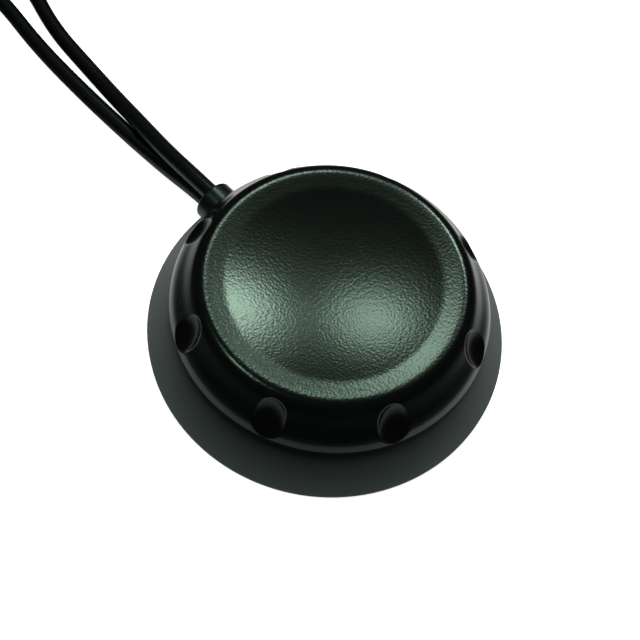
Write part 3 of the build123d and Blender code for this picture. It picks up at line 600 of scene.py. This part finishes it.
@dataclass
class TopCover:
    """Dished cover with a soft ring, a rolled rim and eight thumb scoops.

    Sizes are in millimetres, and a pair is (inset from the rim's edge, rise above the joint). The
    three screw bosses inside the solid, which no side shows, are left out here.
    """

    rim_radius: float = 24.1
    joint_height: float = 9.0
    band_rise: float = 0.9
    band_inset: float = 0.38
    roll_middle: Spot = (2.1, 3.3)
    shoulder: Spot = (3.15, 4.85)
    brow: Spot = (3.95, 5.8)
    crest: Spot = (4.9, 6.2)
    ring_inside: Spot = (5.9, 6.17)
    ring_foot: Spot = (7.1, 6.0)
    dish_edge: Spot = (8.6, 5.755)
    crease: Spot = (6.9, 6.15)
    dish_depth: float = 2.1
    wall_slope: Spot = (4.2, 5.05)
    roof: float = 1.4
    roof_edge_inset: float = 0.7
    joint_face_width: float = 2.5
    scoop_count: int = 8
    scoop_first_degrees: float = 22.5
    scoop_width: float = 4.7
    scoop_depth: float = 0.9
    scoop_foot: Spot = (0.12, 0.22)
    scoop_head: Spot = (3.77, 5.65)
    scoop_edge: float = 0.14
    scoop_turn_rise: float = 1.5
    scoop_matt_depth: float = 0.25
    deepest_press: float = 3.0
    halvings: int = 16
    steps: int = 768
    dish_steps: int = 18
    ceiling_steps: int = 10
    band_steps: int = 6
    roll_spacing: float = 0.14
    ring_way: Spot = (1.0, 0.22)
    band_way: Spot = (0.42, -1.0)

    def inward(self, inset: Spot) -> Spot:
        """Turn (inset, rise) from the rim's edge into (radius, height)."""
        return self.rim_radius - inset[0], self.joint_height + inset[1]

    def slope(self) -> Spot:
        """Return the unit direction up the wall, as (radius, height)."""
        length = math.hypot(*self.wall_slope)
        return -self.wall_slope[0] / length, self.wall_slope[1] / length

    def scoop_line(self) -> tuple[Spot, Spot, float]:
        """Measure the line of a scoop up the rim.

        Returns:
            The line's middle, its unit direction and its length.
        """
        foot, head = self.inward(self.scoop_foot), self.inward(self.scoop_head)
        length = math.dist(foot, head)
        middle = ((foot[0] + head[0]) / 2, (foot[1] + head[1]) / 2)
        return middle, ((head[0] - foot[0]) / length, (head[1] - foot[1]) / length), length

    def outline(self) -> list[Spot]:
        """Draw the cover's section, from the dish's middle out and back inside.

        Returns:
            Corners of the closed outline, as (radius, height).
        """
        crease = self.inward(self.crease)
        ring = [self.inward(p) for p in (self.dish_edge, self.ring_foot, self.ring_inside, self.crest,
                                         self.brow, self.shoulder, self.roll_middle)]
        band_top = self.inward((self.band_inset, self.band_rise))
        dish = arc_points((0.0, crease[1] - self.dish_depth), ring[0], self.dish_steps)
        roll = smooth_line([*ring, band_top], self.ring_way, self.band_way, self.roll_spacing)
        band = [(band_top[0] + (self.rim_radius - band_top[0]) * i / self.band_steps,
                 band_top[1] + (self.joint_height - band_top[1]) * i / self.band_steps)
                for i in range(1, self.band_steps + 1)]
        slope_r, slope_z = self.slope()
        roof_height = crease[1] - self.roof
        foot = self.rim_radius - self.joint_face_width
        head = foot + slope_r / slope_z * (roof_height - self.joint_height)
        inner_edge = (min(crease[0], head) - self.roof_edge_inset, roof_height)
        inner_middle = (0.0, roof_height - self.dish_depth * (inner_edge[0] / crease[0]) ** 2)
        ceiling = arc_points(inner_middle, inner_edge, self.ceiling_steps)[::-1]
        return [*dish, *roll[1:], *band, (foot, self.joint_height), (head, roof_height), *ceiling]

    def scoop_middle_angle(self, spot: Vector) -> float:
        """Find the scoop that lies nearest to a point.

        Args:
            spot: The point.

        Returns:
            Direction of the scoop's middle, in radians.
        """
        step = 2 * math.pi / self.scoop_count
        first = math.radians(self.scoop_first_degrees)
        return first + round((math.atan2(spot.y, spot.x) - first) / step) * step

    def inside_cutter(self, radial: float, height: float, aside: float) -> bool:
        """Tell whether a point lies inside the spindle that cuts a scoop.

        Args:
            radial: Distance from the axis along the scoop's own direction, in millimetres.
            height: Height in millimetres.
            aside: Distance to the side of the scoop's middle, in millimetres.

        Returns:
            True inside the spindle.
        """
        middle, (slope_r, slope_z), length = self.scoop_line()
        across = (self.scoop_width ** 2 / 4 + self.scoop_depth ** 2) / (2 * self.scoop_depth)
        along = (length ** 2 / 4 + self.scoop_depth ** 2) / (2 * self.scoop_depth)
        from_r = radial - middle[0]
        from_z = height - middle[1]
        up_slope = from_r * slope_r + from_z * slope_z
        out = from_r * slope_z - from_z * slope_r - (across - self.scoop_depth)
        reach = math.sqrt(max(along ** 2 - up_slope ** 2, 0)) - (along - across)
        return math.hypot(out, aside) < reach

    def scoop(self, spot: Vector) -> Vector:
        """Press one point of the outside in where a scoop reaches it.

        The press is level at the rim's edge, so the edge stays in its plane, and square to the
        slope higher up. It is found by halving, and a parabola rounds the scoop's edge.

        Args:
            spot: Point in millimetres.

        Returns:
            The pressed point.
        """
        middle = self.scoop_middle_angle(spot)
        radial = spot.x * math.cos(middle) + spot.y * math.sin(middle)
        aside = -spot.x * math.sin(middle) + spot.y * math.cos(middle)
        slope_r, slope_z = self.scoop_line()[1]
        tilt = math.atan2(-slope_r, slope_z) * ease((spot.z - self.joint_height) / self.scoop_turn_rise)
        way_r, way_z = math.cos(tilt), math.sin(tilt)
        low, high = -self.scoop_edge, self.deepest_press
        if not self.inside_cutter(radial - low * way_r, spot.z - low * way_z, aside):
            return spot
        for _ in range(self.halvings):
            half = (low + high) / 2
            if self.inside_cutter(radial - half * way_r, spot.z - half * way_z, aside):
                low = half
            else:
                high = half
        near = max(self.scoop_edge - abs(low), 0) / self.scoop_edge
        press = max(low, 0.0) + near ** 2 * self.scoop_edge / 4
        return spot - press * Vector((way_r * math.cos(middle), way_r * math.sin(middle), way_z))

    def on_outside(self, spot: Vector) -> bool:
        """Tell whether a point lies on the outer side of the cover's wall.

        Args:
            spot: Point in millimetres.

        Returns:
            True on the outer side.
        """
        slope_r, slope_z = self.slope()
        from_r = math.hypot(spot.x, spot.y) - (self.rim_radius - self.joint_face_width / 2)
        return from_r * slope_z - (spot.z - self.joint_height) * slope_r > 0

    def build(self, shop: Workshop) -> Piece:
        """Spin the cover, press its scoops and place it.

        Args:
            shop: Workshop that dresses the piece.

        Returns:
            The cover.
        """
        shape = spin_outline(self.outline(), self.steps)
        share = shape.verts.layers.float.new(SCOOP_ATTRIBUTE)
        roll_foot = self.rim_radius - self.crest[0]
        for vert in shape.verts:
            spot = vert.co / MM
            if math.hypot(spot.x, spot.y) > roll_foot and self.on_outside(spot):
                pressed = self.scoop(spot)
                vert[share] = min((pressed - spot).length / self.scoop_matt_depth, 1.0)
                vert.co = pressed * MM
        cover = mesh_piece("cover_shell", shape)
        return shop.place(cover, "cover_plastic", stands_for=("top_cover",))


class Side(Enum):
    """Which way a lead's put-away coil turns."""

    LOWER = 1.0
    UPPER = -1.0


@dataclass
class CoaxLead:
    """One coaxial cable: its lead, its put-away coil and its tail, in millimetres but for its length."""

    name: str
    side: Side
    lead: list[Point]
    tail: list[Point]
    coil_middle: Spot
    exit: Point
    length: float = 2.9
    radius: float = CABLE_RADIUS
    mean_turn: float = 16.4
    columns: int = 5
    rows: int = 6
    row_rise: float = 2.6
    points_per_turn: int = 16
    shift_start: float = 0.6
    shift_span: float = 0.3
    last_shift_start: float = 0.12
    start_degrees: float = 90.0
    turns_cut: float = 0.5
    spline_order: int = 3
    steps_per_point: int = 6
    section_steps: int = 5

    def places(self) -> list[Spot]:
        """Return the radius and height of each turn in winding order.

        The rows are wound from the floor up without their outer turns, which come last, from the
        top down, so that both ends of the cable leave the coil on the floor.

        Returns:
            Radius and height of each turn, in millimetres.
        """
        rows = []
        for row in range(self.rows):
            count = self.columns - row % 2
            height = TURN_HEIGHT + row * self.row_rise
            rows.append([(self.mean_turn + (count - 1 - 2 * i) * self.radius, height) for i in range(count)])
        inside = []
        for row, turns in enumerate(rows):
            inside += turns[1:] if row % 2 == 0 else turns[:0:-1]
        return inside + [turns[0] for turns in reversed(rows)]

    def coil(self) -> list[Point]:
        """Wind the coil turn by turn, from where the lead meets it.

        Returns:
            The coil's control points, in millimetres.
        """
        places = self.places()
        starts = [0.0, *(i + self.shift_start for i in range(len(places) - 2)),
                  len(places) - 1 + self.last_shift_start]
        arrival = (abs(self.lead[-1][1] - self.coil_middle[1]), TURN_HEIGHT)
        # The spline runs inside its control points, which stand further out by this share
        outside = 1 / math.cos(math.pi / self.points_per_turn)
        points = []
        for i in range(1, round((len(places) - self.turns_cut) * self.points_per_turn)):
            turn = i / self.points_per_turn
            radius, height = arrival
            for start, before, after in zip(starts, [arrival, *places], places):
                share = ease((turn - start) / self.shift_span)
                radius += (after[0] - before[0]) * share
                height += (after[1] - before[1]) * share
            angle = math.radians(self.start_degrees) + 2 * math.pi * turn
            reach = radius * outside
            points.append((self.coil_middle[0] + reach * math.cos(angle),
                           self.coil_middle[1] + self.side.value * reach * math.sin(angle), height))
        return points

    def build(self, shop: Workshop) -> Piece:
        """Lay the cable on one smooth spline.

        Args:
            shop: Workshop that dresses the pieces.

        Returns:
            The cable.
        """
        curve = bpy.data.curves.new(f"{self.name}_cable", "CURVE")
        curve.dimensions = "3D"
        spline = curve.splines.new("NURBS")
        route = [*self.lead, *self.coil(), *self.tail]
        spline.points.add(len(route) - 1)
        for point, (x, y, z) in zip(spline.points, route):
            point.co = (x * MM, y * MM, z * MM, 1.0)
        spline.order_u = self.spline_order
        spline.use_endpoint_u = True
        spline.resolution_u = self.steps_per_point
        curve.bevel_depth = self.radius * MM
        curve.bevel_resolution = self.section_steps
        curve.use_fill_caps = True
        cable = bpy.data.objects.new(curve.name, curve)
        bpy.context.scene.collection.objects.link(cable)
        nodes = tuple(f"{self.name}_cable_{part}" for part in ("lead", "coil", "tail"))
        return shop.place(cable, "cable_jacket", stands_for=nodes)


@dataclass
class CoilTies:
    """Two woven straps round one coil, each lapped over its own start, in millimetres."""

    name: str
    coil_middle: Spot
    inner_radius: float = 8.65
    outer_radius: float = 24.15
    low: float = 0.4
    top: float = 17.4
    width: float = 5.0
    thickness: float = 0.8
    corner: float = 3.45
    corner_steps: int = 8
    lap_start: float = 16.5
    lap_rise: float = 3.0
    lap_lead: float = 1.1
    lap_gap: float = 0.02
    lap_end: float = 11.0
    edge_round: float = 0.15
    edge_steps: int = 2
    turns_degrees: Spot = (0.0, 180.0)

    def strap_line(self) -> list[Spot]:
        """Draw the middle line of a strap's section, lapped on the coil's top.

        Returns:
            The line's points, as (radius, height).
        """
        left, right = self.inner_radius + self.corner, self.outer_radius - self.corner
        low, top = self.low + self.corner, self.top - self.corner
        line = [(self.lap_start, self.top)]
        for radius, height, start in ((left, top, 90), (left, low, 180), (right, low, 270), (right, top, 0)):
            for step in range(self.corner_steps + 1):
                angle = math.radians(start + 90 * step / self.corner_steps)
                line.append((radius + self.corner * math.cos(angle), height + self.corner * math.sin(angle)))
        for step in range(1, self.corner_steps + 1):
            share = step / self.corner_steps
            rise = ease(share) * (self.thickness + self.lap_gap)
            line.append((self.lap_start + self.lap_rise * (self.lap_lead - share), self.top + rise))
        return [*line, (self.lap_end, line[-1][1])]

    def build(self, shop: Workshop) -> Piece:
        """Fold both straps and place them as one piece.

        Args:
            shop: Workshop that dresses the piece.

        Returns:
            The straps.
        """
        shape = bmesh.new()
        layer = shape.loops.layers.uv.new("strap")
        line = self.strap_line()
        for degrees in self.turns_degrees:
            start = [shape.verts.new((r * MM, -self.width / 2 * MM, z * MM)) for r, z in line]
            edges = [shape.edges.new(pair) for pair in zip(start, start[1:])]
            made = bmesh.ops.extrude_edge_only(shape, edges=edges)["geom"]
            across = [item for item in made if isinstance(item, bmesh.types.BMVert)]
            bmesh.ops.translate(shape, verts=across, vec=(0, self.width * MM, 0))
            place = Matrix.Translation(Vector((*self.coil_middle, 0)) * MM) @ Matrix.Rotation(
                math.radians(degrees), 4, "Z")
            bmesh.ops.transform(shape, matrix=place, verts=start + across)
            self.lay_map(layer, line, start, across)
        strap = mesh_piece(f"{self.name}_straps", shape, sharp_degrees=50.0)
        solid = strap.modifiers.new("thickness", "SOLIDIFY")
        solid.thickness = self.thickness * MM
        solid.offset = 0.0
        rounded = strap.modifiers.new("edges", "BEVEL")
        rounded.width = self.edge_round * MM
        rounded.segments = self.edge_steps
        rounded.limit_method = "ANGLE"
        return shop.place(strap, "tie_strap", stands_for=(f"{self.name}_coil_ties",))

    def lay_map(self, layer: bmesh.types.BMLayerItem, line: list[Spot], start: list[bmesh.types.BMVert],
                across: list[bmesh.types.BMVert]) -> None:
        """Lay the strap's UV map along it, in millimetres.

        Args:
            layer: UV layer.
            line: The strap's line.
            start: Points of one edge.
            across: Points of the other edge.
        """
        steps = [math.dist(a, b) for a, b in zip(line, line[1:])]
        reach = dict(zip(start, np.cumsum([0, *steps])))
        for vert in start:
            for edge in vert.link_edges:
                other = edge.other_vert(vert)
                if other in across:
                    reach[other] = reach[vert]
        for face in {face for vert in start for face in vert.link_faces}:
            for loop in face.loops:
                loop[layer].uv = (reach[loop.vert], self.width if loop.vert in across else 0.0)


@dataclass
class NutThread:
    """Inner thread of one coupling nut: a fine helical ridge in its bore, in millimetres."""

    name: str
    rear: Point
    start: float = 5.6
    length: float = 4.6
    bore_radius: float = 2.96
    ridge_height: float = 0.3
    ridge_share: float = 0.42
    pitch: float = 0.7056
    steps_per_turn: int = 48

    def build(self, shop: Workshop) -> Piece:
        """Wind the ridge and place it on the nut's body.

        Args:
            shop: Workshop that dresses the piece.

        Returns:
            The thread.
        """
        shape = bmesh.new()
        half = self.pitch * self.ridge_share
        ridge = self.bore_radius - self.ridge_height
        corners = [(-half, self.bore_radius), (0.0, ridge), (half, self.bore_radius)]
        verts = [shape.verts.new(((self.start + x) * MM, 0, r * MM)) for x, r in corners]
        shape.faces.new(verts)
        turns = self.length / self.pitch
        steps = round(turns * self.steps_per_turn)
        bmesh.ops.spin(shape, geom=shape.faces[:], axis=(1, 0, 0), cent=(0, 0, 0), steps=steps,
                       angle=2 * math.pi * turns, dvec=(self.length / steps * MM, 0, 0), use_merge=False)
        bmesh.ops.holes_fill(shape, edges=shape.edges[:], sides=4)
        bmesh.ops.translate(shape, verts=shape.verts[:], vec=Vector(self.rear) * MM)
        bmesh.ops.recalc_face_normals(shape, faces=shape.faces[:])
        thread = mesh_piece(f"{self.name}_nut_thread", shape, sharp_degrees=30.0)
        return shop.place(thread, "plug_gold", body=f"{self.name}_nut")


@dataclass
class Camera:
    """Camera at the photograph's viewing angle; its distance is in millimetres."""

    elevation_degrees: float = 62.9
    azimuth_degrees: float = 36.1
    roll_degrees: float = -11.1
    distance: float = 140.0
    focal_px: float = 881.5
    middle_px: Spot = (326.7, 325.5)
    sensor_mm: float = 36.0
    clip_start_mm: float = 5.0

    def build(self) -> None:
        """Make the camera and set it as the scene's own."""
        azimuth, elevation = math.radians(self.azimuth_degrees), math.radians(self.elevation_degrees)
        forward = Vector((-math.sin(azimuth) * math.cos(elevation), math.cos(azimuth) * math.cos(elevation),
                          -math.sin(elevation)))
        level = Vector((math.cos(azimuth), math.sin(azimuth), 0))
        upward = level.cross(forward)
        roll = math.radians(self.roll_degrees)
        right = level * math.cos(roll) - upward * math.sin(roll)
        above = level * math.sin(roll) + upward * math.cos(roll)
        place = Matrix((right, above, -forward)).transposed().to_4x4()
        place.translation = -forward * self.distance * MM
        lens = bpy.data.cameras.new("photo_camera")
        lens.sensor_width = self.sensor_mm
        lens.lens = self.focal_px / IMAGE_SIDE * self.sensor_mm
        lens.shift_x = -(self.middle_px[0] - IMAGE_SIDE / 2) / IMAGE_SIDE
        lens.shift_y = (self.middle_px[1] - IMAGE_SIDE / 2) / IMAGE_SIDE
        lens.clip_start = self.clip_start_mm * MM
        camera = bpy.data.objects.new(lens.name, lens)
        camera.matrix_world = place
        bpy.context.scene.collection.objects.link(camera)
        bpy.context.scene.camera = camera
        LOG.info("camera at %s", [round(x, 4) for x in place.translation])


@dataclass(frozen=True)
class Lamp:
    """One soft round lamp that faces the antenna.

    Its azimuth in degrees counts from +X and its elevation from the floor, its distance and size
    are in metres and its power in watts.
    """

    name: str
    azimuth: float
    elevation: float
    power: float
    size: float = 0.14
    distance: float = 0.9
    mirrored: bool = True

    def build(self) -> None:
        """Make the lamp."""
        a, e = math.radians(self.azimuth), math.radians(self.elevation)
        towards = Vector((math.cos(a) * math.cos(e), math.sin(a) * math.cos(e), math.sin(e)))
        light = bpy.data.lights.new(self.name, "AREA")
        light.shape = "DISK"
        light.size = self.size
        light.energy = self.power
        lamp = bpy.data.objects.new(self.name, light)
        lamp.location = towards * self.distance
        lamp.rotation_euler = towards.to_track_quat("Z", "Y").to_euler()
        lamp.visible_glossy = self.mirrored
        bpy.context.scene.collection.objects.link(lamp)


@dataclass
class Studio:
    """Pale floor, dim room and soft lamps."""

    floor_half_m: float = 3.0
    floor_cells: int = 8
    floor_colour: str = "fbfbfb"
    floor_rough: float = 0.9
    floor_glow: float = 0.95
    # Painted pool of light that the antenna mirrors: the floor's colour in reflections is full inside the
    # first radius and falls to this share beyond the second
    painted_pool_mm: Spot = (36.0, 62.0)
    painted_pool_far_share: float = 0.12
    room_colour: str = "ffffff"
    room_dim: float = 0.03
    lamps: tuple[Lamp, ...] = (
        Lamp("lamp_back_left", 108.5, 50.0, 2.0),
        Lamp("lamp_back_right", 135.5, 55.0, 1.2),
        Lamp("lamp_front_left", -133.0, 67.0, 1.0),
        Lamp("fill_above", 126.0, 72.0, 3.5, size=0.4, mirrored=False),
    )

    def build(self) -> None:
        """Make the floor, the room and the lamps."""
        self.build_floor()
        self.build_room()
        for lamp in self.lamps:
            lamp.build()
        bpy.context.scene.view_settings.view_transform = "Standard"

    def mirrored_floor(self, tree: Shader) -> Socket:
        """Shade the floor as the antenna mirrors it: lit and shadowed by the lamps, with a painted pool of
        light that darkens its colour away from the middle.

        Args:
            tree: Node tree of the floor.

        Returns:
            The shader's socket.
        """
        place = add_node(tree, "TexCoord").outputs["Object"]
        flat = add_node(tree, "VectorMath", {0: place, 1: (1.0, 1.0, 0.0)}, operation="MULTIPLY")
        reach = add_node(tree, "VectorMath", {0: flat.outputs["Vector"]}, operation="LENGTH")
        # Painted pool of light: full colour near the middle, darker further out
        painted_light_pool = add_node(tree, "MapRange", {"Value": reach.outputs["Value"], "From Min": self.painted_pool_mm[0] * MM,
                                           "From Max": self.painted_pool_mm[1] * MM, "To Min": 1.0,
                                           "To Max": self.painted_pool_far_share}, interpolation_type="SMOOTHSTEP")
        return add_node(tree, "BsdfDiffuse", {"Color": painted_light_pool.outputs["Result"]}).outputs["BSDF"]

    def build_floor(self) -> None:
        """Make the pale floor, which glows where it is seen and keeps the antenna's shadow."""
        shape = bmesh.new()
        bmesh.ops.create_grid(shape, x_segments=self.floor_cells, y_segments=self.floor_cells,
                              size=self.floor_half_m)
        floor = mesh_piece("floor", shape)
        material, tree, shader = new_material("pale_table")
        shader.inputs["Base Color"].default_value = linear(self.floor_colour)
        shader.inputs["Roughness"].default_value = self.floor_rough
        shader.inputs["Specular IOR Level"].default_value = 0.0
        path = add_node(tree, "LightPath").outputs
        straight = add_node(tree, "Math", {0: path["Is Camera Ray"], 1: path["Is Transmission Ray"]},
                            operation="MAXIMUM")
        seen = add_node(tree, "Math", {0: straight.outputs["Value"], 1: self.floor_glow},
                        operation="MULTIPLY")
        glow = add_node(tree, "Emission", {"Color": linear(self.floor_colour),
                                           "Strength": seen.outputs["Value"]})
        both = add_node(tree, "AddShader", {0: shader.outputs["BSDF"], 1: glow.outputs["Emission"]})
        # Reflections see the floor with its painted pool of light
        shown = add_node(tree, "MixShader", {0: path["Is Glossy Ray"], 1: both.outputs["Shader"],
                                             2: self.mirrored_floor(tree)})
        tree.links.new(shown.outputs["Shader"], tree.nodes["Material Output"].inputs["Surface"])
        floor.data.materials.append(material)

    def build_room(self) -> None:
        """Make a room that is pale to the camera and dim to the antenna."""
        world = bpy.data.worlds.new("room")
        bpy.context.scene.world = world
        world.use_nodes = True
        tree = world.node_tree
        path = add_node(tree, "LightPath").outputs
        strength = add_node(tree, "MapRange", {"Value": path["Is Camera Ray"], "To Min": self.room_dim,
                                               "To Max": 1.0})
        back = tree.nodes["Background"]
        back.inputs["Color"].default_value = linear(self.room_colour)
        tree.links.new(strength.outputs["Result"], back.inputs["Strength"])


LEADS = {
    "gps": [(-20.4, 0.0, 3.3), (-29.6, 0.0, 3.3), (-39.0, -0.2, CABLE_RADIUS), (-50.0, -0.75, CABLE_RADIUS),
            (-62.0, -0.95, CABLE_RADIUS), (-75.0, -0.6, CABLE_RADIUS), (-88.0, 1.0, CABLE_RADIUS),
            (-97.0, COIL_Y["gps"] + OUTER_TURN + 0.2, TURN_HEIGHT),
            (COIL_X, COIL_Y["gps"] + OUTER_TURN - 0.6, TURN_HEIGHT)],
    "gsm": [(-20.4, 0.0, 6.3), (-29.6, 0.0, 6.3), (-39.0, 0.35, 5.0), (-47.0, 1.2, 3.85), (-56.0, 2.3, 2.0),
            (-65.0, 3.15, CABLE_RADIUS), (-76.0, 3.95, CABLE_RADIUS), (-87.0, 6.9, CABLE_RADIUS),
            (-96.0, COIL_Y["gsm"] - OUTER_TURN + 0.8, TURN_HEIGHT),
            (COIL_X, COIL_Y["gsm"] - OUTER_TURN + 0.5, TURN_HEIGHT)],
}


def tail_route(coil_y: float, side: float) -> list[Point]:
    """Return the points of the short stretch from a coil to its plug.

    Args:
        coil_y: Place of the coil across the floor.
        side: Side of the coil, -1 or 1 along Y.

    Returns:
        The points in millimetres.
    """
    return [(COIL_X - 3.0, coil_y + side * OUTER_TURN, TURN_HEIGHT),
            (COIL_X + 4.5, coil_y + side * (OUTER_TURN + 0.3), TURN_HEIGHT),
            (COIL_X + 18.5, coil_y + side * (OUTER_TURN - PLUG_INSET), PLUG_HEIGHT),
            (PLUG_START_X, coil_y + side * (OUTER_TURN - PLUG_INSET), PLUG_HEIGHT)]


def build_lead(name: str, side: Side, exit_height: float, shop: Workshop) -> None:
    """Args:
        name: Prefix of the cable's nodes.
        side: Which way its coil turns.
        exit_height: Height at which it leaves the boss.
        shop: Workshop that dresses the pieces.
    """
    coil_middle = (COIL_X, COIL_Y[name])
    tail = tail_route(COIL_Y[name], -side.value)
    lead = CoaxLead(name, side, LEADS[name], tail, coil_middle, (-27.5, 0.0, exit_height))
    cable = lead.build(shop)
    straps = CoilTies(name, coil_middle).build(shop)
    thread = NutThread(name, (PLUG_REAR_X, tail[-1][1], PLUG_HEIGHT)).build(shop)


def main() -> None:
    """Build the antenna's looks in order."""
    logging.basicConfig(level=logging.INFO, format="%(message)s")
    Camera().build()
    shop = Workshop()
    build_lead("gps", Side.LOWER, 3.3, shop)
    build_lead("gsm", Side.UPPER, 6.3, shop)
    for part in frame["record"]["subparts"]:
        shop.dress(part["node"], part["material_slot"])
    TopCover().build(shop)
    Studio().build()


if __name__ == "__main__":
    main()
